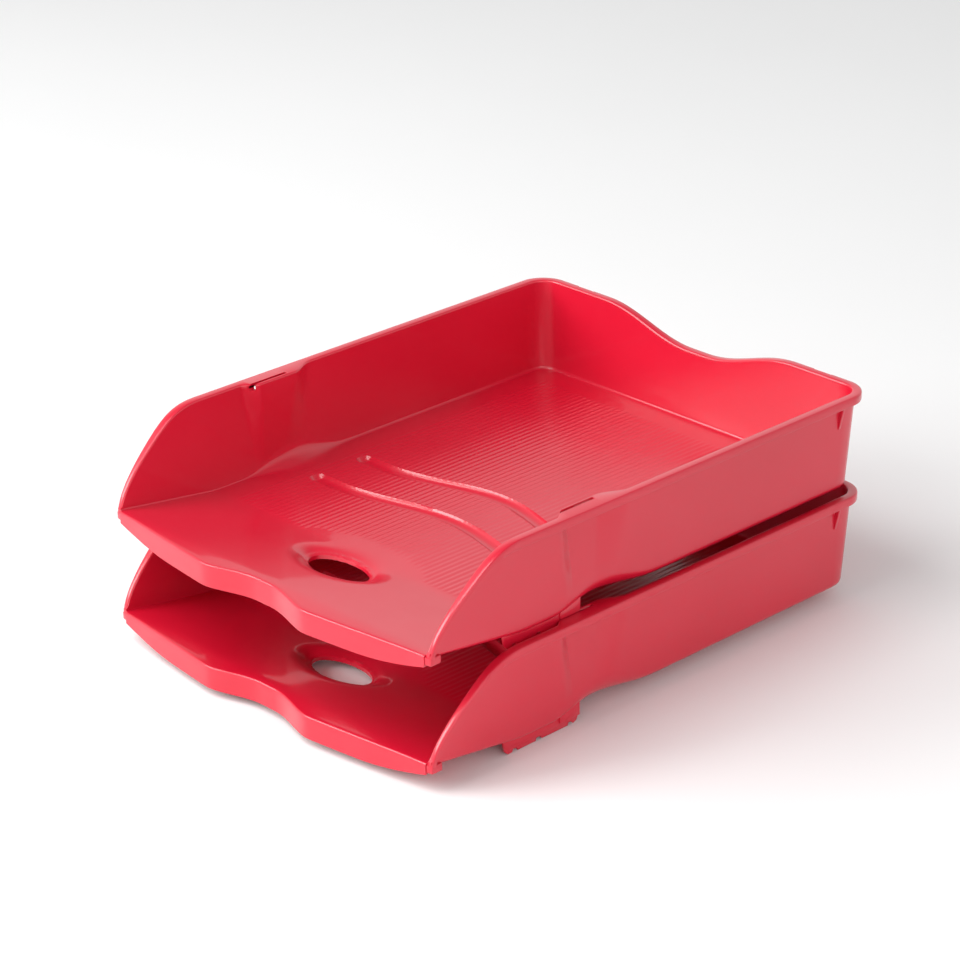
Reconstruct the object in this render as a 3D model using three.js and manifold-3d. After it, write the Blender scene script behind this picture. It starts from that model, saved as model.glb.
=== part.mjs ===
// Two identical injection-moulded letter trays, the upper one standing in the rim of the lower one.
// Millimetres. +X is the right-hand side, +Y the rear, +Z up. The origin is under the middle of the
// stack's box, on the plane that the lower tray's feet stand on.
import * as THREE from "three";
import { mergeVertices } from "three/addons/utils/BufferGeometryUtils.js";
import { ConvexGeometry } from "three/addons/geometries/ConvexGeometry.js";
import Module from "manifold-3d";

// ---- Driving dimensions -------------------------------------------------------------------------
const RIM_WIDTH = 255; // over the rims, side to side
const TRAY_LENGTH = 340.2; // front bulges to rear rim
const STACK_PITCH = 60; // from one tray's foot plane to the next
const NEST = 3.4; // how far the feet reach down below the rim they stand in
const WALL = 2.1; // thickness of the walls and the floor
const WALL_INSET = 3.6; // rim's edge to the side wall's outside, at the top
const SIDE_DRAFT = 0.056; // how far the side walls lean out, per mm of height
const REAR_DRAFT = 0.043; // the same for the rear wall
const REAR_OVERHANG = 3.2; // rim's edge to the rear wall's outside, at the top
const RIM_CORNER = 18; // radius of the rim's rear corners, in plan
const WALL_CORNER = 13.5; // the same for the outside of the walls
const RIM_PLATE = 2.2; // thickness of the rim's flat top
const RIM_PLATE_SHIFT = 1.4; // its underside lies this far back, for the same thickness on the slope
const LIP_DROP = 5; // how far down the rim's outer lip hangs
const LIP_WALL = 1.6; // thickness of that lip
const LIP_TAPER_SETBACK = 55.4; // the lip tapers from this far behind the front corner, and ends here
const LIP_END_SETBACK = 31.4;
const LIP_END_DROP = 10;
const FLOOR_TOP = 8.2; // inside floor, at the rear
const RAMP_SETBACK = 64.8; // the floor starts to rise this far behind the front corner
const RAMP_SLOPE = 0.143; // rise per mm towards the front
const FRONT_FLOOR = 17.2; // height of the floor at the front lip
const REAR_COVE = 2; // inside radius between floor and rear wall
const SIDE_COVE = 2; // inside radius between floor and side wall, at the rear
const ARCH_COVE = 12.9; // the same where the foot of the side wall arches up
const FRONT_COVE = 1; // the same beside the ramp
const ARCH_REAR = 5; // rear end, middle and front end of that arch
const ARCH_MIDDLE = -38;
const ARCH_FRONT = -75;
const REAR_DIP = 13.6; // how far the rear rim dips in the middle
const DIP_FLAT = 6; // half width of the flat middle of that dip
const DIP_HALF = 72; // half width of the whole dip
const CURVE_SETBACK = 59.4; // the side rims start to curve down this far behind the front corner
const SIDE_CURVE = [ // bends of that curve: distance behind the front corner, and drop from the top
  [43.4, 0],
  [35.4, 6.8],
  [25.4, 15.3],
  [14.4, 25],
  [3.9, 35],
];
const CORNER_SETBACK = 10.7; // the side walls end this far behind the front bulges
const FRONT_EDGE = 0.5; // the curve meets the front lip this far behind that end
const HORN_HALF = 42; // half distance between the two forward bulges of the front lip
const HORN_OUTER = 8; // where the rounding of a bulge ends, on its outer and inner side
const HORN_INNER = 7;
const BOW_DEPTH = 8.5; // how far the middle of the front lip lies behind the bulges
const BOW_FLAT = 8; // half width of the bow's straight middle
const BOW_BEND = 22; // half width at which the bow turns towards the bulges
const APRON_WALL = 2; // thickness of the front apron
const APRON_BOTTOM = 4.2; // its lower edge in the middle
const APRON_CORNER_BOTTOM = 11.7; // its lower edge at the two corners
const APRON_STRAIGHT = 70; // half width of the level part of that edge
const APRON_RETURN = 7.4; // how far it runs back along the sides
const HOLE_HALF_X = 21; // finger hole
const HOLE_HALF_Y = 10.8;
const HOLE_SETBACK = 49.6; // middle of the finger hole, behind the front corner
const DISH_HALF_X = 35.5; // mouth of the dish round the finger hole
const DISH_HALF_Y = 25;
const DISH_FOOT = 6; // height of the hole's upper edge
const POCKET_DEPTH = 6.9; // outside pocket in each side wall, at the rim
const POCKET_FRONT = -71; // at the wall; its front face slants in to
const POCKET_STEP = -62; // here, where it is deepest
const POCKET_REAR = -21.3;
const POCKET_BOTTOM = 26;
const SLOT_WIDTH = 2.1; // slot in the rim over the pocket
const SLOT_FRONT = -70; // it runs out through the rim's slanting inner edge
const SLOT_REAR = -41.3;
const SHOULDER_FRONT = -66.3; // the part of a side foot that rests on the rim below
const SHOULDER_REAR = -51.7;
const SHOULDER_IN = 4; // how far the shoulder reaches inwards and outwards of the foot's outer face
const SHOULDER_OUT = 1.6;
const FOOT_WALL = 1.5; // thickness of the side feet
const FIT = 0.3; // clearance wherever the upper tray meets the lower one
const GROOVE_HALF = 78; // half span of the bell of each floor groove
const GROOVE_END = 92; // half length of the grooves
const GROOVE_RADIUS = 5.2;
const GROOVE_DEPTH = 1.9;
const GROOVES = [
  { base: -7, rise: 15.6 },
  { base: -42, rise: 13 },
];
const REAR_FOOT_X = 91; // rear feet, and the notches over them in the rear rim
const REAR_FOOT_WIDTH = 12;
const REAR_NOTCH_DEPTH = 1.2;
const GUSSET_WALL = 1.6;
const GUSSETS = [
  { y: -54.5, drop: 4.2 },
  { y: TRAY_LENGTH / 2 - 23.9, drop: 9 },
];

const RIM_HALF = RIM_WIDTH / 2;
const REAR = TRAY_LENGTH / 2;
const FRONT_CORNER = REAR - CORNER_SETBACK;
const CURVE_START = FRONT_CORNER - CURVE_SETBACK;
const RAMP_START = FRONT_CORNER - RAMP_SETBACK;
const LIP_TAPER = FRONT_CORNER - LIP_TAPER_SETBACK;
const LIP_END = FRONT_CORNER - LIP_END_SETBACK;
const HOLE_Y = -FRONT_CORNER + HOLE_SETBACK;
const RIM_TOP = STACK_PITCH + NEST;
const REAR_WALL = REAR - REAR_OVERHANG;
const HORN_FRONT = -REAR + 0.1; // the rounding of a bulge reaches the rest of the way
const SEAT = NEST + FIT; // lowest face of a tray that is above the rim below it
const FAR = RIM_WIDTH + TRAY_LENGTH; // past every face of the tray
const OVER = 2 * STACK_PITCH; // above and below every face of the tray

// ---- Solids -------------------------------------------------------------------------------------
const wasm = await Module();
wasm.setup();

function solid(geometry) {
  const bare = geometry.clone();
  bare.deleteAttribute("normal");
  bare.deleteAttribute("uv");
  const merged = mergeVertices(bare, 1e-4);
  const mesh = new wasm.Mesh({
    numProp: 3,
    vertProperties: merged.attributes.position.array,
    triVerts: new Uint32Array(merged.index.array),
  });
  return new wasm.Manifold(mesh);
}

function geometryOf(body) {
  const mesh = body.getMesh();
  const geometry = new THREE.BufferGeometry();
  geometry.setAttribute("position", new THREE.BufferAttribute(mesh.vertProperties, 3));
  geometry.setIndex(new THREE.BufferAttribute(mesh.triVerts, 1));
  return geometry;
}

function union(bodies) {
  return bodies.reduce((whole, body) => whole.add(body));
}

function bothSides(body) {
  return body.add(body.mirror([1, 0, 0]));
}

function extruded(shape, depth, segments = 6) {
  return new THREE.ExtrudeGeometry(shape, { depth, bevelEnabled: false, curveSegments: segments });
}

// A plan outline, drawn in X and Y, as a body between two heights.
function upright(shape, low, high, segments) {
  return solid(extruded(shape, high - low, segments).translate(0, 0, low));
}

// A side view, drawn with Y across and Z up, as a body between two X planes.
function across(shape, left, right, segments) {
  const turned = new THREE.Matrix4().makeBasis(
    new THREE.Vector3(0, 1, 0),
    new THREE.Vector3(0, 0, 1),
    new THREE.Vector3(1, 0, 0),
  );
  return solid(extruded(shape, right - left, segments).applyMatrix4(turned).translate(left, 0, 0));
}

// A front view, drawn with X across and Z up, as a body between two Y planes.
function lengthwise(shape, front, rear, segments) {
  const turned = new THREE.Matrix4().makeBasis(
    new THREE.Vector3(1, 0, 0),
    new THREE.Vector3(0, 0, 1),
    new THREE.Vector3(0, -1, 0),
  );
  return solid(extruded(shape, rear - front, segments).applyMatrix4(turned).translate(0, rear, 0));
}

function polygon(points) {
  return new THREE.Shape(points.map(([x, y]) => new THREE.Vector2(x, y)));
}

function block(x0, x1, y0, y1, z0, z1) {
  const box = new THREE.BoxGeometry(x1 - x0, y1 - y0, z1 - z0);
  return solid(box.translate((x0 + x1) / 2, (y0 + y1) / 2, (z0 + z1) / 2));
}

// A closed body through rings of equal count. Each ring is drawn clockwise in X and Z at its own Y,
// the front ring first.
function loft(rings) {
  const count = rings[0].points.length;
  const positions = rings.flatMap((ring) => ring.points.flatMap(([x, z]) => [x, ring.y, z]));
  const index = [];
  for (let r = 0; r < rings.length - 1; r++)
    for (let i = 0; i < count; i++) {
      const a = r * count + i;
      const b = r * count + ((i + 1) % count);
      index.push(a, b, a + count, b, b + count, a + count);
    }
  const contour = (ring) => ring.points.map(([x, z]) => new THREE.Vector2(x, z));
  const last = (rings.length - 1) * count;
  for (const [a, b, c] of THREE.ShapeUtils.triangulateShape(contour(rings[0]), []))
    index.push(a, b, c);
  for (const [a, b, c] of THREE.ShapeUtils.triangulateShape(contour(rings.at(-1)), []))
    index.push(last + a, last + c, last + b);
  const geometry = new THREE.BufferGeometry();
  geometry.setAttribute("position", new THREE.Float32BufferAttribute(positions, 3));
  geometry.setIndex(index);
  return solid(geometry);
}

// ---- Profiles of the tray -----------------------------------------------------------------------
const smooth = (t) => THREE.MathUtils.smoothstep(t, 0, 1);
const bell = (x, half) => 0.5 * (1 + Math.cos((Math.PI * Math.min(Math.abs(x), half)) / half));
const wallHalf = (z) => RIM_HALF - WALL_INSET - SIDE_DRAFT * (RIM_TOP - z);
const rearFace = (z) => REAR_WALL - REAR_DRAFT * (RIM_TOP - z);
const rampTop = (y) => FLOOR_TOP + RAMP_SLOPE * (-RAMP_START - y);
const floorTop = (y) => THREE.MathUtils.clamp(rampTop(y), FLOOR_TOP, FRONT_FLOOR);

function sideCove(y) {
  const rise = smooth((ARCH_REAR - y) / (ARCH_REAR - ARCH_MIDDLE));
  const fall = smooth((ARCH_MIDDLE - y) / (ARCH_MIDDLE - ARCH_FRONT));
  return SIDE_COVE + (ARCH_COVE - SIDE_COVE) * rise - (ARCH_COVE - FRONT_COVE) * fall;
}

// The tray's cross-section at y, grown outwards by `skin` from the inside face.
function section(y, skin) {
  const radius = sideCove(y) + skin;
  const bottom = floorTop(y) - skin;
  const half = (z) => wallHalf(z) - WALL + skin;
  const right = [[half(OVER), OVER]];
  const steps = 6;
  for (let i = 0; i <= steps; i++) {
    const turn = (i / steps) * (Math.PI / 2);
    const z = bottom + radius * (1 - Math.sin(turn));
    right.push([half(z) - radius * (1 - Math.cos(turn)), z]);
  }
  const left = right.map(([x, z]) => [-x, z]).reverse();
  return [...right, ...left];
}

function trough(skin) {
  const ramp = [-FAR, -RAMP_START - (FRONT_FLOOR - FLOOR_TOP) / RAMP_SLOPE, -RAMP_START];
  const arch = [ARCH_FRONT, -68, -61, -54, -46, ARCH_MIDDLE, -28, -19, -10, ARCH_REAR];
  const stations = [...ramp, ...arch, FAR].sort((a, b) => a - b);
  return loft(stations.map((y) => ({ y, points: section(y, skin) })));
}

// Everything in front of the rear wall, with the cove at its foot.
function beforeRear(skin) {
  const face = (z) => rearFace(z) - WALL + skin;
  const low = FLOOR_TOP - skin;
  const radius = REAR_COVE + skin;
  const shape = new THREE.Shape();
  shape.moveTo(-FAR, -OVER);
  shape.lineTo(face(low) - radius, -OVER);
  shape.lineTo(face(low) - radius, low);
  shape.bezierCurveTo(
    face(low) - radius * 0.45,
    low,
    face(low),
    low + radius * 0.45,
    face(low + radius),
    low + radius,
  );
  shape.lineTo(face(OVER), OVER);
  shape.lineTo(-FAR, OVER);
  return across(shape, -FAR, FAR, 5);
}

function roundedRear(shape, half, rear, radius) {
  shape.lineTo(half, rear - radius);
  shape.absarc(half - radius, rear - radius, radius, 0, Math.PI / 2, false);
  shape.absarc(-half + radius, rear - radius, radius, Math.PI / 2, Math.PI, false);
}

// The tray in plan. The front lip runs straight from each corner to a forward bulge, with a shallow
// bow between the two.
function trayPlan(half, rear, radius, inset) {
  const front = HORN_FRONT + inset;
  const corner = -FRONT_CORNER + inset;
  const bow = -REAR + BOW_DEPTH + inset;
  const shape = new THREE.Shape();
  shape.moveTo(-half, corner);
  shape.lineTo(-HORN_HALF - HORN_OUTER, front + 1);
  shape.quadraticCurveTo(-HORN_HALF, front - 1.6, -HORN_HALF + HORN_INNER, front + 2);
  shape.quadraticCurveTo(-BOW_BEND, bow, -BOW_FLAT, bow);
  shape.lineTo(BOW_FLAT, bow);
  shape.quadraticCurveTo(BOW_BEND, bow, HORN_HALF - HORN_INNER, front + 2);
  shape.quadraticCurveTo(HORN_HALF, front - 1.6, HORN_HALF + HORN_OUTER, front + 1);
  shape.lineTo(half, corner);
  roundedRear(shape, half, rear, radius);
  return upright(shape, -OVER, OVER, 7);
}

// The rim in plan: full width, tapering in to the wall where it runs down to the front.
function rimPlan(inset) {
  const half = RIM_HALF - inset;
  const front = wallHalf(FRONT_FLOOR) + LIP_WALL - inset;
  const shape = new THREE.Shape();
  shape.moveTo(-half, -CURVE_START - 10);
  shape.lineTo(-front, -FRONT_CORNER);
  shape.lineTo(front, -FRONT_CORNER);
  shape.lineTo(half, -CURVE_START - 10);
  roundedRear(shape, half, REAR - inset, RIM_CORNER - inset);
  return upright(shape, -OVER, OVER, 7);
}

// Everything under the side rims: level, then curving down to the front corner.
function underSideRim() {
  const bends = SIDE_CURVE.map(([behind, drop]) => [-FRONT_CORNER + behind, RIM_TOP - drop]);
  const [leaving, bending, middle, falling, steep] = bends;
  const shape = new THREE.Shape();
  shape.moveTo(FAR, -OVER);
  shape.lineTo(FAR, RIM_TOP);
  shape.lineTo(-CURVE_START, RIM_TOP);
  shape.bezierCurveTo(...leaving, ...bending, ...middle);
  shape.bezierCurveTo(...falling, ...steep, -FRONT_CORNER + FRONT_EDGE, FRONT_FLOOR);
  shape.lineTo(-FAR, FRONT_FLOOR);
  shape.lineTo(-FAR, -OVER);
  return across(shape, -FAR, FAR, 7);
}

// Everything under the rear rim: level, with the dip in the middle.
function underRearRim() {
  const reach = DIP_HALF - DIP_FLAT;
  const points = [];
  for (let x = -DIP_HALF; x <= DIP_HALF; x += 6)
    points.push([x, RIM_TOP - REAR_DIP * bell(Math.max(0, Math.abs(x) - DIP_FLAT), reach)]);
  const outline = polygon([[-FAR, -OVER], [-FAR, RIM_TOP], ...points, [FAR, RIM_TOP], [FAR, -OVER]]);
  const level = block(-FAR, FAR, -FAR, REAR - 2 * RIM_CORNER, -OVER, RIM_TOP);
  return lengthwise(outline, 0, FAR).add(level);
}

// ---- Features -----------------------------------------------------------------------------------
// The body of the tray grown by `skin` from its inside face, open at the top.
function vessel(skin) {
  const half = wallHalf(RIM_TOP) - WALL + skin;
  const rear = rearFace(RIM_TOP) - WALL + skin;
  const open = skin === 0 ? -OVER : 0; // the inside runs out through the front lip
  const plan = trayPlan(half + 1, rear + 0.5, WALL_CORNER - WALL + skin, open);
  return trough(skin).intersect(beforeRear(skin)).intersect(plan);
}

// The pocket's space, grown by `skin`: deepest at the rim, running out to nothing lower down.
function pocketSpace(skin) {
  const face = wallHalf(RIM_TOP) - POCKET_DEPTH - skin;
  const low = wallHalf(POCKET_BOTTOM) - skin;
  const outside = RIM_HALF + WALL;
  const top = RIM_TOP + WALL;
  const corners = [
    [face, POCKET_STEP - skin / 2, top],
    [face, POCKET_REAR - 14, top],
    [wallHalf(RIM_TOP) - skin, POCKET_REAR, top],
    [outside, POCKET_REAR, top],
    [wallHalf(RIM_TOP) - skin, POCKET_FRONT, top],
    [outside, POCKET_FRONT, top],
    [low, POCKET_STEP + 7, POCKET_BOTTOM],
    [low, POCKET_REAR - 19, POCKET_BOTTOM],
    [outside, POCKET_STEP + 7, POCKET_BOTTOM],
    [outside, POCKET_REAR - 19, POCKET_BOTTOM],
  ];
  return solid(new ConvexGeometry(corners.map((corner) => new THREE.Vector3(...corner))));
}

function rimPlate(topEdge) {
  return rimPlan(0).intersect(topEdge.subtract(topEdge.translate([0, RIM_PLATE_SHIFT, -RIM_PLATE])));
}

function rimLip(topEdge) {
  const ring = rimPlan(0).subtract(rimPlan(LIP_WALL));
  const band = topEdge.subtract(topEdge.translate([0, 0, -LIP_DROP]));
  const front = polygon([
    [-FAR, -OVER],
    [-LIP_TAPER, -OVER],
    [-LIP_TAPER, RIM_TOP - LIP_DROP],
    [-LIP_END, RIM_TOP - LIP_END_DROP],
    [-LIP_END, OVER],
    [-FAR, OVER],
  ]);
  return ring.intersect(band).subtract(across(front, -FAR, FAR));
}

function apron() {
  const half = wallHalf(FRONT_FLOOR);
  const ring = trayPlan(half, 0, 1, 0).subtract(trayPlan(half - APRON_WALL, 10, 1, APRON_WALL));
  const edge = [];
  for (let x = -130; x <= 130; x += 10) {
    const out = Math.max(0, Math.abs(x) - APRON_STRAIGHT) / (half - APRON_STRAIGHT);
    edge.push([x, APRON_BOTTOM + (APRON_CORNER_BOTTOM - APRON_BOTTOM) * out * out]);
  }
  const front = polygon([...edge, [130, FRONT_FLOOR], [-130, FRONT_FLOOR]]);
  return ring.intersect(lengthwise(front, -FAR, -FRONT_CORNER + APRON_RETURN));
}

// The space of the dish, from the finger hole up through its mouth in the sloping floor. `drop`
// lowers it all, which gives the underside.
function dish(drop) {
  const oval = new THREE.Shape();
  oval.absellipse(0, 0, 1, 1, 0, 2 * Math.PI, false, 0);
  const cone = extruded(oval, 1, 12);
  const position = cone.attributes.position;
  for (let i = 0; i < position.count; i++) {
    const [u, v] = [position.getX(i), position.getY(i)];
    const hole = new THREE.Vector3(HOLE_HALF_X * u, HOLE_Y + HOLE_HALF_Y * v, DISH_FOOT);
    const mouth = new THREE.Vector3(DISH_HALF_X * u, HOLE_Y + 1 + DISH_HALF_Y * v, 0);
    mouth.z = Math.max(FLOOR_TOP, rampTop(mouth.y));
    const point = hole.lerp(mouth, position.getZ(i) * 1.2);
    position.setXYZ(i, point.x, point.y, point.z - drop);
  }
  return solid(cone);
}

function fingerHole() {
  const oval = new THREE.Shape();
  oval.absellipse(0, HOLE_Y, HOLE_HALF_X, HOLE_HALF_Y, 0, 2 * Math.PI, false, 0);
  return upright(oval, -OVER, DISH_FOOT + 1, 12);
}

// A round bar along a bell-shaped line over the floor: sunk into it, it leaves a groove.
function grooveBar(groove, skin) {
  const points = [];
  for (let x = -GROOVE_END; x <= GROOVE_END; x += 15) {
    const y = groove.base + groove.rise * bell(x, GROOVE_HALF);
    points.push(new THREE.Vector3(x, y, FLOOR_TOP + GROOVE_RADIUS - GROOVE_DEPTH));
  }
  const circle = new THREE.Shape();
  circle.absarc(0, 0, GROOVE_RADIUS + skin, 0, 2 * Math.PI, false);
  const bar = new THREE.ExtrudeGeometry(circle, {
    extrudePath: new THREE.CatmullRomCurve3(points),
    steps: 18,
    bevelEnabled: false,
    curveSegments: 9,
  });
  return solid(bar);
}

// One side foot: a thin notched plate, and a thicker shoulder that rests on the rim below.
function sideFoot() {
  const outside = wallHalf(RIM_TOP) - POCKET_DEPTH + SLOT_WIDTH - FIT;
  const plate = polygon([
    [-106.5, 13],
    [-106.5, 7],
    [-105.6, 2.5],
    [-103.3, 0],
    [-100.1, 0],
    [-99.7, 1.6],
    [-96.7, 1.6],
    [-96.2, 0],
    [-83.2, 0],
    [-82.6, 1.7],
    [-79.3, 1.7],
    [-78.8, 0],
    [-59.7, 0],
    [-59.3, 1.6],
    [-57.6, 1.6],
    [-55.8, 0],
    [-53.3, 1],
    [-52.3, 3.5],
    [-51.3, 8],
    [-51.3, 14],
  ]);
  const shoulder = polygon([
    [SHOULDER_FRONT, SEAT],
    [SHOULDER_REAR, SEAT],
    [SHOULDER_REAR, 15],
    [SHOULDER_FRONT, 15],
  ]);
  const thick = across(shoulder, outside - SHOULDER_IN, outside + SHOULDER_OUT);
  const root = thick.intersect(trayPlan(wallHalf(0), 0, 1, 0));
  return across(plate, outside - FOOT_WALL, outside).add(root);
}

// One rear foot: it stands on the table, and its heel rests on the rear rim of the tray below.
function rearFoot() {
  const inner = rearFace(0) - WALL - FIT;
  const front = inner - REAR_FOOT_WIDTH;
  const heel = REAR_WALL - 1;
  const top = FLOOR_TOP + 3;
  const outline = polygon([
    [front, 0],
    [inner, 0],
    [inner, SEAT],
    [heel, SEAT],
    [heel - 0.4, top],
    [front, top],
  ]);
  return across(outline, REAR_FOOT_X - REAR_FOOT_WIDTH / 2, REAR_FOOT_X + REAR_FOOT_WIDTH / 2);
}

function gusset({ y, drop }) {
  const low = RIM_TOP - LIP_DROP - drop;
  const outline = polygon([
    [wallHalf(RIM_TOP) - 1, RIM_TOP - 1],
    [wallHalf(low) - 1, low - 0.5 * drop],
    [wallHalf(low) + 0.2, low - 0.5 * drop],
    [RIM_HALF - LIP_WALL / 2, low + drop + 0.6],
    [RIM_HALF - LIP_WALL / 2, RIM_TOP - 1],
  ]);
  return lengthwise(outline, y - GUSSET_WALL / 2, y + GUSSET_WALL / 2);
}

// The slot that the upper tray's foot drops into.
function rimSlot() {
  const inner = wallHalf(RIM_TOP) - POCKET_DEPTH;
  return block(inner, inner + SLOT_WIDTH, SLOT_FRONT, SLOT_REAR, RIM_TOP - 8, OVER);
}

function rearNotch() {
  const half = REAR_FOOT_WIDTH / 2 + 0.5;
  const [left, right] = [REAR_FOOT_X - half, REAR_FOOT_X + half];
  return block(left, right, REAR - REAR_NOTCH_DEPTH, FAR, RIM_TOP / 2, OVER);
}

// ---- The tray -----------------------------------------------------------------------------------
function tray() {
  const outer = vessel(WALL);
  const topEdge = underSideRim().intersect(underRearRim());
  const bump = bothSides(pocketSpace(0.75 * WALL)).intersect(outer);
  const inside = vessel(0).subtract(bump);
  const swells = GROOVES.map((groove) => grooveBar(groove, 0.7 * WALL));
  const underFloor = block(-FAR, FAR, -FAR, FAR, -OVER, FLOOR_TOP);
  const funnel = dish(0.9 * WALL).intersect(outer.add(outer.translate([0, 0, -5])));

  const additions = union([
    rimPlate(topEdge),
    rimLip(topEdge),
    bothSides(union([sideFoot(), rearFoot(), ...GUSSETS.map(gusset)])),
    union(swells).intersect(underFloor),
    funnel,
  ]).subtract(inside);
  const shell = outer.subtract(inside).subtract(bothSides(pocketSpace(0))).intersect(topEdge);
  const cuts = union([
    ...GROOVES.map((groove) => grooveBar(groove, 0)),
    dish(0),
    fingerHole(),
    bothSides(rimSlot()),
    bothSides(rearNotch()),
  ]);
  return shell.add(additions).add(apron()).subtract(cuts);
}

function moulded(name, geometry, height) {
  const plastic = new THREE.MeshStandardMaterial({ color: 0xd6293f, roughness: 0.22, metalness: 0 });
  plastic.name = "red_gloss_polystyrene";
  const mesh = new THREE.Mesh(geometry, plastic);
  mesh.name = name;
  mesh.position.z = height;
  return mesh;
}

const trayGeometry = geometryOf(tray());
const stack = new THREE.Group();
stack.add(moulded("lower_tray", trayGeometry, 0));
stack.add(moulded("upper_tray", trayGeometry, STACK_PITCH));

export default stack;
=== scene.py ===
# %% [markdown]
# # Two stacked letter trays
#
# Each tray is one red polystyrene moulding. The upper one stands with its feet in the rim of the lower
# one. This script shows how the moulding is shaped: a ribbed floor, walls that grow out of it in one
# sweep, a rolled rim, a front apron, and feet. Then it gives both trays their plastic and lights them.

# %% Start
import math

import bpy
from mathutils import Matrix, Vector


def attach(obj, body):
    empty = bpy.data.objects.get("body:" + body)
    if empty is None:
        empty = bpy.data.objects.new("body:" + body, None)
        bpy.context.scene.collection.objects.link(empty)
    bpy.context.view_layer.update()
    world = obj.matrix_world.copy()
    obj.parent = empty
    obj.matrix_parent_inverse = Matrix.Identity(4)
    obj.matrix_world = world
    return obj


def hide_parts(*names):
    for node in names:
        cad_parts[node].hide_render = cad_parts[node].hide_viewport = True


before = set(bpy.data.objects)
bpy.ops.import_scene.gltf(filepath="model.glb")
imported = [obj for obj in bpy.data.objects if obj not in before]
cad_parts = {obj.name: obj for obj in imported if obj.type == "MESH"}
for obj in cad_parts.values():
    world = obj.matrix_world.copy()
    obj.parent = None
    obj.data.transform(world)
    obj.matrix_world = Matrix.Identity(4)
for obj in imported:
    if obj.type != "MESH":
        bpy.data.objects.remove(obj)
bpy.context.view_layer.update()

MM = 0.001

# %% [markdown]
# ## The tray's measurements
#
# All in millimetres, for the lower tray, with the foot plane at zero height.

# %% Measurements
RIM_HALF = 127.5  # half width over the rim
REAR = 170.1  # rear edge of the rim
RIM_TOP = 63.4
PITCH = 60.0  # the upper tray stands this much higher
WALL = 2.1
SIDE_OVERHANG = 3.6  # the rim's edge stands this far outside the walls
REAR_OVERHANG = 3.2
INNER_HALF = RIM_HALF - SIDE_OVERHANG - WALL  # inside of the side walls, at the top
INNER_REAR = REAR - REAR_OVERHANG - WALL
SIDE_DRAFT = 0.056
REAR_DRAFT = 0.043
CORNER = 11.4  # inside radius of the rear corners, in plan
FLOOR = 8.2
RAMP_START = -94.6
RAMP_SLOPE = 0.143
FRONT_FLOOR = 17.2
LIP = 1.1  # rounding over the top of the apron
RIB_PITCH = 3.75
RIB_HEIGHT = 0.26
RIB_HALF = 105.0  # the ribbed field, side to side
RIB_FRONT = -92.1
PANEL_REAR = 149.0  # rear end of the ribbed field
HOLE = (21.0, 10.8)  # half axes of the finger hole
MOUTH = (35.5, 25.0)  # half axes of the dish round it
HOLE_Y = -109.8
HOLE_Z = 6.2
GROOVES = ((-7.0, 15.6, 78.0), (-42.0, 13.0, 78.0))  # base, rise, half span
GROOVE_END = 92.0
GROOVE_WIDTH = 4.6
GROOVE_DEPTH = 2.6
FRONT_END = -159.2  # front end of the side walls


def clamp(value, low=0.0, high=1.0):
    return max(low, min(high, value))


def smooth(t):
    t = clamp(t)
    return t * t * (3 - 2 * t)


def bell(x, half):
    return 0.5 * (1 + math.cos(math.pi * clamp(abs(x) / half)))


def mix(a, b, t):
    return a + (b - a) * t


print("inside width", round(2 * INNER_HALF, 1), "mm, pitch", PITCH, "mm")

# %% [markdown]
# ## The floor as a height
#
# The floor is level at the back and rises to the front lip. Fine ribs run front to back, two long
# grooves wave across, and a dish sinks to the finger hole.

# %% Floor height
RAMP_EASE = 0.36  # rounds the bend between level and slope
LIP_EASE = 0.12  # rounds the bend between slope and lip
RIB_COLLAR = (45, 14.5)  # half axes of the smooth patch that keeps the ribs off the dish
RING_HEIGHT = 0.9  # a low ring stands round the hole
RING_PLACE = 0.13
RING_WIDTH = 0.09


def ramp(y):
    rise = RAMP_SLOPE * (RAMP_START - y)
    height = FLOOR + 0.5 * (rise + math.sqrt(rise * rise + RAMP_EASE))
    over = FRONT_FLOOR - height
    return FRONT_FLOOR - 0.5 * (over + math.sqrt(over * over + LIP_EASE))


def rib(x, y):
    rear = smooth((PANEL_REAR - 3 - y) / 2)
    front = smooth((y - RIB_FRONT) / 1.2)
    side = smooth((RIB_HALF - 0.5 - abs(x)) / 1.5)
    collar = math.hypot((x + 2) / RIB_COLLAR[0], (y - RIB_FRONT) / RIB_COLLAR[1])
    around = smooth((collar - 1) / 0.05)
    wave = math.cos(2 * math.pi * x / RIB_PITCH)
    return RIB_HEIGHT * (0.5 * wave + 0.3) * rear * front * side * around


def groove(x, y):
    depth = 0.0
    for base, rise, half in GROOVES:
        cx = clamp(x, -GROOVE_END, GROOVE_END)
        line = base + rise * bell(cx, half)
        slope = (base + rise * bell(cx + 1, half)) - line
        across = (y - line) / math.sqrt(1 + slope * slope)
        u = math.hypot(across, x - cx) / GROOVE_WIDTH
        if u < 1:
            depth = max(depth, GROOVE_DEPTH * (1 - u * u) ** 0.6)
    return depth


def dish(x, y, height):
    inner = math.hypot(x / HOLE[0], (y - HOLE_Y) / HOLE[1])
    outer = math.hypot(x / MOUTH[0], (y - HOLE_Y - 1) / MOUTH[1])
    if outer >= 1:
        return height
    t = clamp((inner - 1) / (inner - outer + 1e-6))  # 0 at the hole, 1 at the edge of the dish
    ring = RING_HEIGHT * math.exp(-(((t - RING_PLACE) / RING_WIDTH) ** 2))
    drop = 1 - smooth(t * 1.02) ** 0.75
    return height - (height - HOLE_Z) * drop + ring * (1 - t)


def floor_height(x, y):
    height = ramp(y)
    keep = 1 - clamp(groove(x, y) / 0.3)
    return dish(x, y, height + rib(x, y) * keep - groove(x, y))


print("floor at the back", round(ramp(100), 2), "and at the lip", round(ramp(-158), 2))

# %% [markdown]
# ## The edges of the moulding
#
# The side rims run level, then curve down to the front corner. The rear rim dips in the middle. The
# front lip has two bulges with a shallow bow between them.

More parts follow.
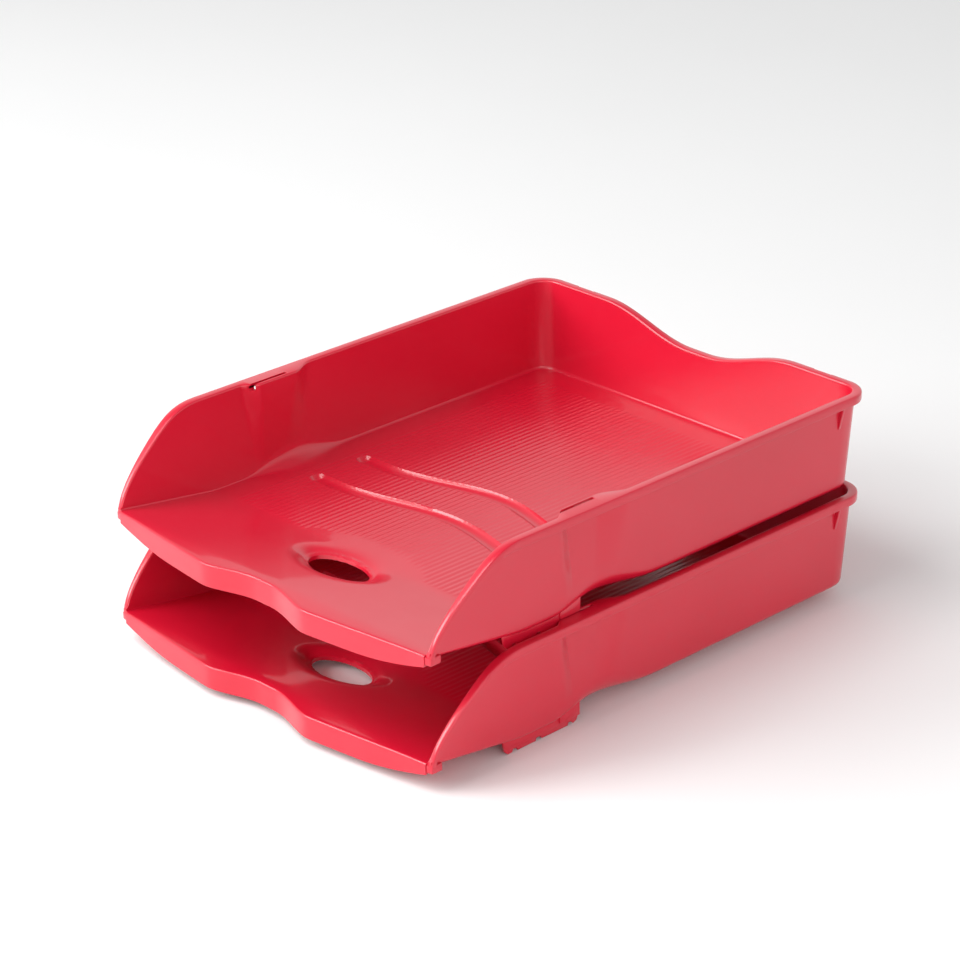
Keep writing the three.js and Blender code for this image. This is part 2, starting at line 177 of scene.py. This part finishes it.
# %% Edge curves
REAR_DIP = 13.6
LIP_CORNER = 122.0  # where the straight run of the lip starts
POCKET_LOW = 14  # the pocket starts at this height and deepens upwards
POCKET_DEPTH = 6.4
POCKET_FRONT = -71
POCKET_REAR = -37


def bezier(p0, p1, p2, p3, t):
    s = 1 - t
    return tuple(
        s**3 * a + 3 * s * s * t * b + 3 * s * t * t * c + t**3 * d
        for a, b, c, d in zip(p0, p1, p2, p3)
    )


CURVE_A = ((-100, RIM_TOP), (-116, RIM_TOP), (-124, 56.6), (-134, 48.1))
CURVE_B = ((-134, 48.1), (-146, 37.6), (-156.6, 27.6), (FRONT_END, FRONT_FLOOR - 1.5))


def side_top(y):
    if y >= CURVE_A[0][0]:
        return RIM_TOP
    part = CURVE_A if y >= CURVE_A[3][0] else CURVE_B
    low, high = 0.0, 1.0
    for _ in range(24):
        t = 0.5 * (low + high)
        if bezier(*part, t)[0] > y:
            low = t
        else:
            high = t
    return bezier(*part, low)[1]


def rear_top(x):
    return RIM_TOP - REAR_DIP * bell(max(0.0, abs(x) - 6), 66)


def lip_line(x):
    # A straight run in from each corner meets the bow between the bulges; both bulges are rounded.
    straight = -159.4 - (LIP_CORNER - abs(x)) * 0.1225
    bow = -161.4 - 8.6 * smooth((abs(x) - 5) / 39)
    return 0.5 * (straight + bow) + math.sqrt(0.25 * (straight - bow) ** 2 + 0.2)


def apron_bottom(x):
    return 4.2 + 7.5 * (max(0.0, abs(x) - 70) / 52) ** 2


def side_cove(y):
    rise = smooth((5 - y) / 43)
    fall = smooth((-38 - y) / 37)
    return 2.0 + 10.9 * rise - 11.9 * fall


def pocket(y, z):
    # How far the side wall is pushed in, over the pocket in its outside.
    deep = POCKET_DEPTH * clamp((z - POCKET_LOW) / 44)
    lower = 1 - clamp((z - POCKET_LOW) / 49)
    front = POCKET_FRONT + 8 * lower
    rear = POCKET_REAR - 8 * lower
    return deep * clamp((y - front) / mix(9, 5, lower)) * (1 - smooth((y - rear) / 17))


print("lip in the middle", round(lip_line(0), 1), "and at a bulge", round(lip_line(42), 1))

# %% [markdown]
# ## Rows and columns
#
# The sheet is one net. Its rows are close together at the grooves, the pockets and the dish, and they
# bend along with the grooves. Its columns fall four to a rib.

# %% Net lines


def steps(start, stop, count):
    return [start + (stop - start) * i / count for i in range(count)]


LAST_ROW = -150.0  # from here the rows spread out to follow the lip
# Each band says where it ends and how many rows it has, from the rear to the front.
BANDS = (
    (143, 5), (-1, 15), (-13, 22), (-36, 8), (-48, 22),
    (-58, 5), (-73, 15), (-84, 5), (-137, 42), (LAST_ROW, 4),
)
ROWS = []
band_start = PANEL_REAR
for band_end, band_rows in BANDS:
    ROWS += steps(band_start, band_end, band_rows)
    band_start = band_end
ROWS.append(LAST_ROW)
FRONT_ROWS = 6
PER_RIB = 4
HALF_COLUMNS = int(RIB_HALF / RIB_PITCH * PER_RIB)
COLUMNS = [i * RIB_PITCH / PER_RIB for i in range(-HALF_COLUMNS, HALF_COLUMNS + 1)]
CORNER_STEPS = 8
print(len(ROWS) + FRONT_ROWS, "rows and", len(COLUMNS), "columns")

# %% [markdown]
# ## Walls from the floor up
#
# A wall station starts at the edge of the floor panel, runs out level, turns up through the cove and
# climbs to just under the rim. Stations follow one another along the left side, round the rear and
# back along the right side.

# %% Wall stations
COVE_STEPS = 9
CLIMB_STEPS = 10
REAR_COVE = 2.0
RIM_COVER = 1.2  # the walls end this far under the rim's top


def wall_profile(base, wall, radius, top):
    """Points from the panel's edge to the wall's top; wall(z) gives the inside face and its normal."""
    ground = base[2]
    points = []
    foot, inward = wall(ground)
    tangent = (foot[0] + inward[0] * radius, foot[1] + inward[1] * radius)
    for t in (0.5, 1.0):
        points.append((mix(base[0], tangent[0], t), mix(base[1], tangent[1], t), ground))
    level = ramp(base[1])
    for i in range(1, COVE_STEPS + 1):
        turn = math.pi / 2 * i / COVE_STEPS
        z = level + radius * (1 - math.cos(turn))
        face, inward = wall(z)
        back = radius * (1 - math.sin(turn))
        points.append((face[0] + inward[0] * back, face[1] + inward[1] * back, z))
    for i in range(1, CLIMB_STEPS + 1):
        z = mix(level + radius, max(top, level + radius + 0.1), i / CLIMB_STEPS)
        face, inward = wall(z)
        points.append((face[0], face[1], z))
    return points


def side_wall(sign, y):
    def wall(z):
        half = INNER_HALF - SIDE_DRAFT * (RIM_TOP - z) - pocket(y, z)
        return (sign * half, y), (-sign, 0.0)

    return wall


def rear_wall(x):
    def wall(z):
        return (x, INNER_REAR - REAR_DRAFT * (RIM_TOP - z)), (0.0, -1.0)

    return wall


def corner_wall(sign, turn):
    def wall(z):
        cx = INNER_HALF - SIDE_DRAFT * (RIM_TOP - z) - CORNER
        cy = INNER_REAR - REAR_DRAFT * (RIM_TOP - z) - CORNER
        out = (math.cos(turn), math.sin(turn))
        return (sign * (cx + CORNER * out[0]), cy + CORNER * out[1]), (-sign * out[0], -out[1])

    return wall


print("cove beside the flat floor", side_cove(60), "mm and at the arch", side_cove(-38), "mm")

# %% [markdown]
# ## The sheet
#
# The panel's points come first, then the apron that hangs from the lip, then the wall stations.

# %% Build the sheet


def bend(x, y):
    # how far a row moves back, so that it runs along the grooves; it fades out behind and in front
    (rear, rear_rise, half), (front, front_rise, _) = GROOVES
    rise = mix(front_rise, rear_rise, clamp((y - front) / (rear - front)))
    fade = smooth((80 - y) / 75) * smooth((y + 84) / 32)
    return rise * bell(x, half) * fade


def panel_y(x, row):
    if row < len(ROWS):
        return ROWS[row] + bend(x, ROWS[row])
    return mix(LAST_ROW, lip_line(x) + LIP, (row - len(ROWS) + 1) / FRONT_ROWS)


def wall_y(row):
    if row < len(ROWS):
        return ROWS[row]
    return mix(LAST_ROW, FRONT_END, (row - len(ROWS) + 1) / FRONT_ROWS)


def sheet_mesh():
    verts, faces = [], []

    def add(point):
        verts.append(Vector(point) * MM)
        return len(verts) - 1

    rows = len(ROWS) + FRONT_ROWS
    panel = []
    for row in range(rows):
        line = []
        for x in COLUMNS:
            y = panel_y(x, row)
            line.append(add((x, y, floor_height(x, y))))
        panel.append(line)
    for row in range(rows - 1):
        for i in range(len(COLUMNS) - 1):
            a, b = panel[row][i], panel[row][i + 1]
            c, d = panel[row + 1][i + 1], panel[row + 1][i]
            faces.append((a, d, c, b))

    # each station is a panel vertex and its profile's vertices, from front left round to front right
    stations = []
    for sign, order in ((-1, range(rows - 1, -1, -1)), (1, range(rows))):
        side = []
        for row in order:
            corner = panel[row][0 if sign < 0 else -1]
            base = verts[corner] / MM
            y = wall_y(row)
            profile = wall_profile(base, side_wall(sign, y), side_cove(y), side_top(y) - RIM_COVER)
            side.append((corner, [add(p) for p in profile]))
        if sign > 0:
            stations += around_rear(panel, verts, add)
        stations += side
    for (a, left), (b, right) in zip(stations, stations[1:]):
        one, two = [a] + left, [b] + right
        for k in range(len(one) - 1):
            # wound like the panel, so that the walls' inner side carries on from the floor's top
            quad = (one[k], two[k], two[k + 1], one[k + 1])
            faces.append(quad if quad[0] != quad[1] else quad[1:])
    add_apron(stations, panel, verts, faces, add)

    mesh = bpy.data.meshes.new("sheet")
    mesh.from_pydata(verts, [], faces)
    return mesh


def around_rear(panel, verts, add):
    turns = [k / CORNER_STEPS for k in range(1, CORNER_STEPS)]
    back = panel[0]
    left = [(back[0], corner_wall(-1, part * math.pi / 2), RIM_TOP) for part in turns]
    across = [(vertex, rear_wall(x), rear_top(x)) for vertex, x in zip(back, COLUMNS)]
    right = [(back[-1], corner_wall(1, (1 - part) * math.pi / 2), RIM_TOP) for part in turns]
    found = []
    for vertex, wall, top in left + across + right:
        profile = wall_profile(verts[vertex] / MM, wall, REAR_COVE, top - RIM_COVER)
        found.append((vertex, [add(p) for p in profile]))
    return found


def add_apron(stations, panel, verts, faces, add):
    left = stations[0][1][:2][::-1]
    right = stations[-1][1][:2]
    front = left + panel[-1] + right
    lines = [front]
    for turn in (0.25, 0.5, 0.75, 1.0, 1.25, 1.6, 2.0):
        line = []
        for index in front:
            x, y, z = verts[index] / MM
            angle = min(turn, 1.0) * math.pi / 2
            slope = lip_line(x + 0.5) - lip_line(x - 0.5)
            flat = math.sqrt(1 + slope * slope)
            out = LIP * math.sin(angle)
            down = z - LIP * (1 - math.cos(angle))
            if turn > 1:
                down = mix(z - LIP, apron_bottom(x), turn - 1)
            line.append(add((x + out * slope / flat, y - out / flat, down)))
        lines.append(line)
    for upper, lower in zip(lines, lines[1:]):
        for k in range(len(front) - 1):
            faces.append((upper[k], lower[k], lower[k + 1], upper[k + 1]))


sheet = bpy.data.objects.new("tray_sheet", sheet_mesh())
bpy.context.collection.objects.link(sheet)


def only(obj):
    bpy.ops.object.select_all(action="DESELECT")
    obj.select_set(True)
    bpy.context.view_layer.objects.active = obj


def apply(obj, kind, **settings):
    only(obj)
    modifier = obj.modifiers.new(kind, kind)
    for key, value in settings.items():
        setattr(modifier, key, value)
    bpy.ops.object.modifier_apply(modifier=modifier.name)


def face_out(obj):
    only(obj)
    bpy.ops.object.mode_set(mode="EDIT")
    bpy.ops.mesh.select_all(action="SELECT")
    bpy.ops.mesh.remove_doubles(threshold=0.00001)
    bpy.ops.mesh.normals_make_consistent(inside=False)
    bpy.ops.object.mode_set(mode="OBJECT")


print("sheet", len(sheet.data.vertices), "points")
print("the panel's normal points up:", round(sheet.data.polygons[0].normal.z, 2))

# %% [markdown]
# The sheet gets its thickness, away from the inside.

# %% Thickness
apply(sheet, "SOLIDIFY", thickness=WALL * MM, offset=-1.0, use_even_offset=False)
print("solid sheet", len(sheet.data.polygons), "faces")

# %% [markdown]
# ## The rim
#
# One rounded profile is carried all the way round: down the left front curve, along the side, round the
# rear with its dip, and back. It widens over the two pockets, and its hanging lip fades out in front.

# %% Rim path
FRONT_REACH = 3.2  # from the wall's inside to the rim's outer edge, at the front end
SIDE_REACH = 5.7
REAR_REACH = 5.3
LEVEL_RIM = 58  # only the level part of the rim widens over the pocket
RIM_CORNER_STEPS = 12
REAR_STEPS = 60


def rim_path():
    """(inside point, outward direction, reach to the rim's outer edge, how much of the lip there is)"""
    side = []
    for part, count in ((CURVE_B, 24), (CURVE_A, 14)):
        side += [bezier(*part, 1 - i / count) for i in range(count)]
    side += [(y, RIM_TOP) for y in steps(-100, -76, 4) + steps(-76, -16, 40) + steps(-16, 153, 12)]
    found = []
    for y, z in side:
        half = INNER_HALF - SIDE_DRAFT * (RIM_TOP - z) - pocket(y, z) * (z > LEVEL_RIM)
        full = smooth((y + 162) / 52)
        edge = mix(half + FRONT_REACH, RIM_HALF, full)
        found.append(((-half, y, z), (-1.0, 0.0), edge - half, smooth((y + 128) / 24)))
    left = list(found)
    cx = INNER_HALF - CORNER
    cy = INNER_REAR - CORNER
    for k in range(RIM_CORNER_STEPS + 1):
        turn = math.pi / 2 * k / RIM_CORNER_STEPS
        out = (math.cos(turn), math.sin(turn))
        point = (-(cx + CORNER * out[0]), cy + CORNER * out[1], RIM_TOP)
        left.append((point, (-out[0], out[1]), mix(SIDE_REACH, REAR_REACH, k / RIM_CORNER_STEPS), 1.0))
    across = []
    for i in range(1, REAR_STEPS):
        x = mix(-cx, cx, i / REAR_STEPS)
        across.append(((x, INNER_REAR, rear_top(x)), (0.0, 1.0), REAR_REACH, 1.0))
    right = [((-p[0], p[1], p[2]), (-n[0], n[1]), reach, lip) for p, n, reach, lip in left[::-1]]
    return left + across + right


# Each point is (from the inner edge?, distance, height under the rim's top).
RIM_PROFILE = (
    (True, -0.04, -2.5), (True, -0.04, -1.2), (True, 0.12, -0.6), (True, 0.45, -0.18), (True, 0.95, 0.0),
    (False, 1.1, 0.0), (False, 0.5, -0.14), (False, 0.14, -0.5), (False, 0.0, -1.1), (False, 0.0, -4.5),
    (False, 0.2, -4.9), (False, 0.7, -5.0), (False, 1.3, -4.9), (False, 1.5, -4.5), (False, 1.6, -2.7),
    (False, 2.0, -2.2), (True, 2.3, -2.2), (True, 2.0, -2.5),
)
LIP_FROM = -2.6  # points of the profile below this belong to the hanging lip
LIP_FOLDED = -2.3  # where they lie when the lip has faded out


def rim_mesh():
    path = rim_path()
    verts, faces = [], []
    count = len(RIM_PROFILE)
    for k, (point, out, reach, lip) in enumerate(path):
        before, after = Vector(path[max(k - 1, 0)][0]), Vector(path[min(k + 1, len(path) - 1)][0])
        outward = Vector((out[0], out[1], 0))
        along = after - before
        along -= outward * along.dot(outward)
        up = outward.cross(along).normalized()
        up = up if up.z > 0 else -up
        for inner, distance, height in RIM_PROFILE:
            if height <= LIP_FROM:
                height = mix(LIP_FOLDED + 0.08 * (height + 2.7), height, lip)
            across = distance if inner else reach - distance
            verts.append((Vector(point) + outward * across + up * height) * MM)
    for k in range(len(path) - 1):
        for i in range(count):
            a, b = k * count + i, k * count + (i + 1) % count
            faces.append((a, b, b + count, a + count))
    faces.append(tuple(range(count)))
    faces.append(tuple((len(path) - 1) * count + i for i in range(count)))
    mesh = bpy.data.meshes.new("rim")
    mesh.from_pydata(verts, [], faces)
    return mesh


rim = bpy.data.objects.new("tray_rim", rim_mesh())
bpy.context.collection.objects.link(rim)
face_out(rim)
print("rim", len(rim.data.polygons), "faces")

# %% [markdown]
# ## Feet, gussets and corner pieces
#
# Small plates are drawn as an outline, extruded, and softened with a bevel.

# %% Plates


def plate(name, outline, axis, low, high, bevel=0.3):
    """Extrudes an outline drawn in the two other axes from `low` to `high` along `axis`."""
    bpy.ops.mesh.primitive_circle_add(vertices=len(outline), fill_type="NGON")
    obj = bpy.context.active_object
    obj.name = name
    place = {
        "x": lambda a, b: (low, a, b),
        "y": lambda a, b: (a, low, b),
        "z": lambda a, b: (a, b, low),
    }[axis]
    for vertex, (a, b) in zip(obj.data.vertices, outline):
        vertex.co = Vector(place(a, b)) * MM
    step = {"x": (high - low, 0, 0), "y": (0, high - low, 0), "z": (0, 0, high - low)}[axis]
    bpy.ops.object.mode_set(mode="EDIT")
    bpy.ops.mesh.select_all(action="SELECT")
    bpy.ops.mesh.extrude_region_move(TRANSFORM_OT_translate={"value": Vector(step) * MM})
    bpy.ops.mesh.select_all(action="SELECT")
    bpy.ops.mesh.normals_make_consistent(inside=False)
    bpy.ops.object.mode_set(mode="OBJECT")
    if bevel:
        apply(obj, "BEVEL", width=bevel * MM, segments=2, limit_method="ANGLE", angle_limit=0.6)
    return obj


def box(name, x, y, z, bevel=0.3):
    return plate(name, ((x[0], y[0]), (x[1], y[0]), (x[1], y[1]), (x[0], y[1])), "z", z[0], z[1], bevel)


FOOT = (
    (-106.4, 9.6), (-106.4, 7), (-105.6, 2.5), (-103.3, 0), (-100.1, 0), (-99.7, 1.6), (-96.7, 1.6),
    (-96.2, 0), (-83.2, 0), (-82.6, 1.7), (-79.3, 1.7), (-78.8, 0), (-59.7, 0), (-59.3, 1.6),
    (-57.6, 1.6), (-55.8, 0), (-53.3, 1), (-52.3, 3.5), (-51.5, 11.6), (-60, 9.0), (-72, 7.4), (-90, 7.4),
)
FOOT_SIDES = (117.3, 118.8)
SHOULDER = ((-66.3, 3.8), (-51.7, 3.8), (-51.7, 12.2), (-56, 10.9), (-60, 9.6), (-66.3, 7.9))
SHOULDER_SIDES = (117.2, 119.6)
HEEL = ((150.0, 0), (161.5, 0), (161.5, 3.8), (165.7, 3.8), (165.3, 9.4), (160, 7.2), (150.0, 7.2))
HEEL_SIDES = (85.1, 96.9)
GUSSETS = ((-54.5, 4.2), (146.2, 9.0))  # place along the tray, drop below the lip
GUSSET_HALF = 0.8
GUSSET_OUTER = 126.6
GUSSET_TOP = RIM_TOP - 1.4
RETURN_INNER = 115.0
RETURN_OUTER = 122.3
RETURN_HEIGHTS = (11.7, 16.2)
details = []
for sign in (-1, 1):
    side = (lambda a, b: (a, b)) if sign > 0 else (lambda a, b: (-b, -a))
    details.append(plate("foot_plate", FOOT, "x", *side(*FOOT_SIDES), 0.25))
    details.append(plate("foot_shoulder", SHOULDER, "x", *side(*SHOULDER_SIDES), 0.3))
    details.append(plate("rear_foot", HEEL, "x", *side(*HEEL_SIDES), 0.3))
    for y, drop in GUSSETS:
        low = RIM_TOP - 5 - drop
        inside = INNER_HALF + WALL - 0.8 - SIDE_DRAFT * (RIM_TOP - low) - pocket(y, RIM_TOP)
        outline = (
            (sign * inside, GUSSET_TOP),
            (sign * inside, low - 0.45 * drop),
            (sign * (inside + 1.1), low - 0.45 * drop),
            (sign * GUSSET_OUTER, low + drop + 0.5),
            (sign * GUSSET_OUTER, GUSSET_TOP),
        )
        details.append(plate("gusset", outline, "y", y - GUSSET_HALF, y + GUSSET_HALF, 0.2))
    corner = (
        (sign * RETURN_INNER, lip_line(RETURN_INNER) + 0.05),
        (sign * RETURN_OUTER, lip_line(LIP_CORNER) + 0.05),
        (sign * RETURN_OUTER, -152.2),
        (sign * 119.3, -152.2),
        (sign * 119.0, -157.0),
        (sign * RETURN_INNER, -157.4),
    )
    details.append(plate("apron_return", corner, "z", *RETURN_HEIGHTS, 0.7))
print(len(details), "small pieces")

# %% [markdown]
# ## Openings
#
# The finger hole is cut through the dish. The rim gets its two slots and the two notches at the rear.

# %% Cut the openings
SLOT_INNER = 117.0
SLOT_OUTER = 119.1
SLOT_ENDS = (-70, -41.3)
SLOT_DEPTH = 3.8
NOTCH_PLACE = 91
NOTCH_HALF = 6.5
NOTCH_DEPTH = 1.2
OVAL_POINTS = 72


def cut(obj, tool):
    apply(obj, "BOOLEAN", object=tool, operation="DIFFERENCE", solver="EXACT")


oval = [
    (
        HOLE[0] * math.cos(2 * math.pi * i / OVAL_POINTS),
        HOLE_Y + HOLE[1] * math.sin(2 * math.pi * i / OVAL_POINTS),
    )
    for i in range(OVAL_POINTS)
]
tools = [plate("cut_hole", oval, "z", -5, 30, 0)]
cut(sheet, tools[0])
for sign in (-1, 1):
    slot_x = (SLOT_INNER, SLOT_OUTER) if sign > 0 else (-SLOT_OUTER, -SLOT_INNER)
    slot = box("cut_slot", slot_x, SLOT_ENDS, (RIM_TOP - SLOT_DEPTH, RIM_TOP + 5), 0)
    notch_x = (sign * NOTCH_PLACE - NOTCH_HALF, sign * NOTCH_PLACE + NOTCH_HALF)
    notch = box("cut_notch", notch_x, (REAR - NOTCH_DEPTH, REAR + 4), (30, 70), 0)
    cut(rim, slot)
    cut(sheet, slot)
    cut(rim, notch)
    tools += [slot, notch]
for tool in tools:
    bpy.data.objects.remove(tool)
print("cut sheet", len(sheet.data.polygons), "faces, rim", len(rim.data.polygons))

# %% [markdown]
# ## One tray, twice
#
# The pieces become one tray. The upper tray is the same one, a stacking pitch higher.

# %% Join and place
only(sheet)
for piece in [rim] + details:
    piece.select_set(True)
bpy.ops.object.join()
sheet.name = "lower_tray_moulding"
only(sheet)
bpy.ops.object.shade_smooth_by_angle(angle=math.radians(38))
upper = sheet.copy()
upper.data = sheet.data.copy()
upper.name = "upper_tray_moulding"
bpy.context.collection.objects.link(upper)
for vertex in upper.data.vertices:
    vertex.co.z += PITCH * MM
print("each tray has", sum(len(p.vertices) - 2 for p in sheet.data.polygons), "triangles")

# %% [markdown]
# ## Red gloss polystyrene
#
# The plastic is a deep red with a clear gloss. Its surface has the faint orange peel of a moulding.

# %% Material


def linear(code):
    parts = [int(code[i : i + 2], 16) / 255 for i in (1, 3, 5)]
    return [p / 12.92 if p <= 0.04045 else ((p + 0.055) / 1.055) ** 2.4 for p in parts] + [1.0]


def node(tree, kind, links=None, **values):
    made = tree.nodes.new(kind)
    for key, value in values.items():
        if hasattr(made, key):
            setattr(made, key, value)
        else:
            made.inputs[key.replace("_", " ")].default_value = value
    for key, source in (links or {}).items():
        tree.links.new(source, made.inputs[key])
    return made


def gloss_polystyrene():
    material = bpy.data.materials.new("red_gloss_polystyrene")
    material.use_nodes = True
    tree = material.node_tree
    shader = tree.nodes["Principled BSDF"]
    shader.inputs["IOR"].default_value = 1.5
    shader.inputs["Coat Weight"].default_value = 0.45
    shader.inputs["Coat Roughness"].default_value = 0.06
    place = node(tree, "ShaderNodeTexCoord").outputs["Object"]
    # slow drift of the pigment over about 120 mm
    drift = node(tree, "ShaderNodeTexNoise", {"Vector": place}, Scale=8.0, Detail=2.0)
    shade = node(tree, "ShaderNodeValToRGB", {"Fac": drift.outputs["Fac"]})
    shade.color_ramp.elements[0].position = 0.3
    shade.color_ramp.elements[0].color = linear("#CC102E")
    shade.color_ramp.elements[1].position = 0.7
    shade.color_ramp.elements[1].color = linear("#D41634")
    tree.links.new(shade.outputs["Color"], shader.inputs["Base Color"])
    # polish varies over about 15 mm, from handling
    wear = node(tree, "ShaderNodeTexNoise", {"Vector": place}, Scale=65.0, Detail=4.0)
    polish = node(tree, "ShaderNodeMapRange", {"Value": wear.outputs["Fac"]}, To_Min=0.26, To_Max=0.36)
    tree.links.new(polish.outputs["Result"], shader.inputs["Roughness"])
    # orange peel, about 2.5 mm across
    peel = node(tree, "ShaderNodeTexNoise", {"Vector": place}, Scale=400.0, Detail=2.0)
    bump = node(tree, "ShaderNodeBump", {"Height": peel.outputs["Fac"]}, Strength=0.05, Distance=0.0002)
    tree.links.new(bump.outputs["Normal"], shader.inputs["Normal"])
    return material


plastic = gloss_polystyrene()
for tray, body in ((sheet, "lower_tray"), (upper, "upper_tray")):
    tray.data.materials.clear()
    tray.data.materials.append(plastic)
    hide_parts(body)
    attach(tray, body)
print("material", plastic.name, "on both trays")

# %% [markdown]
# ## Floor, light and camera
#
# A pale floor, a bright even surround, and soft lights from above and from both sides in front.

# %% Stage
AIM = (0, 0, 0.05)  # every light points at the middle of the stack


def pale_floor():
    bpy.ops.object.select_all(action="DESELECT")
    bpy.ops.mesh.primitive_plane_add(size=8, location=(0, 0, -0.0004))
    floor = bpy.context.active_object
    floor.name = "studio_floor"
    material = bpy.data.materials.new("pale_studio_paper")
    material.use_nodes = True
    tree = material.node_tree
    shader = tree.nodes["Principled BSDF"]
    shader.inputs["Roughness"].default_value = 0.9
    place = node(tree, "ShaderNodeTexCoord").outputs["Object"]
    grain = node(tree, "ShaderNodeTexNoise", {"Vector": place}, Scale=3.0, Detail=2.0)
    tone = node(tree, "ShaderNodeValToRGB", {"Fac": grain.outputs["Fac"]})
    tone.color_ramp.elements[0].color = linear("#F6F6F6")
    tone.color_ramp.elements[1].color = linear("#FAFAFA")
    tree.links.new(tone.outputs["Color"], shader.inputs["Base Color"])
    floor.data.materials.append(material)


def softbox(name, where, target, size, power):
    light = bpy.data.lights.new(name, "AREA")
    light.shape = "RECTANGLE"
    light.size, light.size_y = size
    light.energy = power
    obj = bpy.data.objects.new(name, light)
    obj.location = where
    obj.rotation_euler = (Vector(target) - Vector(where)).to_track_quat("-Z", "Y").to_euler()
    bpy.context.collection.objects.link(obj)


def studio():
    world = bpy.data.worlds.new("studio")
    bpy.context.scene.world = world
    world.use_nodes = True
    tree = world.node_tree
    # white paper sweep up to about 30 degrees, a dimmer ceiling above it
    direction = node(tree, "ShaderNodeTexCoord").outputs["Generated"]
    height = node(tree, "ShaderNodeSeparateXYZ", {"Vector": direction}).outputs["Z"]
    tone = node(tree, "ShaderNodeValToRGB", {"Fac": height})
    tone.color_ramp.elements[0].position = 0.5
    tone.color_ramp.elements[0].color = linear("#FFFFFF")
    tone.color_ramp.elements[1].position = 0.78
    tone.color_ramp.elements[1].color = linear("#909090")
    tree.links.new(tone.outputs["Color"], tree.nodes["Background"].inputs["Color"])
    tree.nodes["Background"].inputs["Strength"].default_value = 0.95
    softbox("overhead_front", (-0.3, -0.9, 1.7), AIM, (1.2, 0.9), 18)
    softbox("front_left", (-1.1, -1.6, 1.0), AIM, (1.2, 1.0), 30)
    softbox("front_right", (1.7, -0.9, 0.8), AIM, (1.0, 0.8), 5)


def camera():
    data = bpy.data.cameras.new("camera")
    data.sensor_width = 36
    data.lens = 121.9
    data.shift_x = -0.0546
    data.shift_y = -0.0283
    data.dof.use_dof = False
    obj = bpy.data.objects.new("camera", data)
    obj.location = (1.1528, -1.1217, 0.8054)
    obj.rotation_euler = (math.radians(66.276), 0, math.radians(44.945))
    bpy.context.collection.objects.link(obj)
    bpy.context.scene.camera = obj


pale_floor()
studio()
camera()
bpy.context.scene.view_settings.view_transform = "Standard"
print("stage is set")
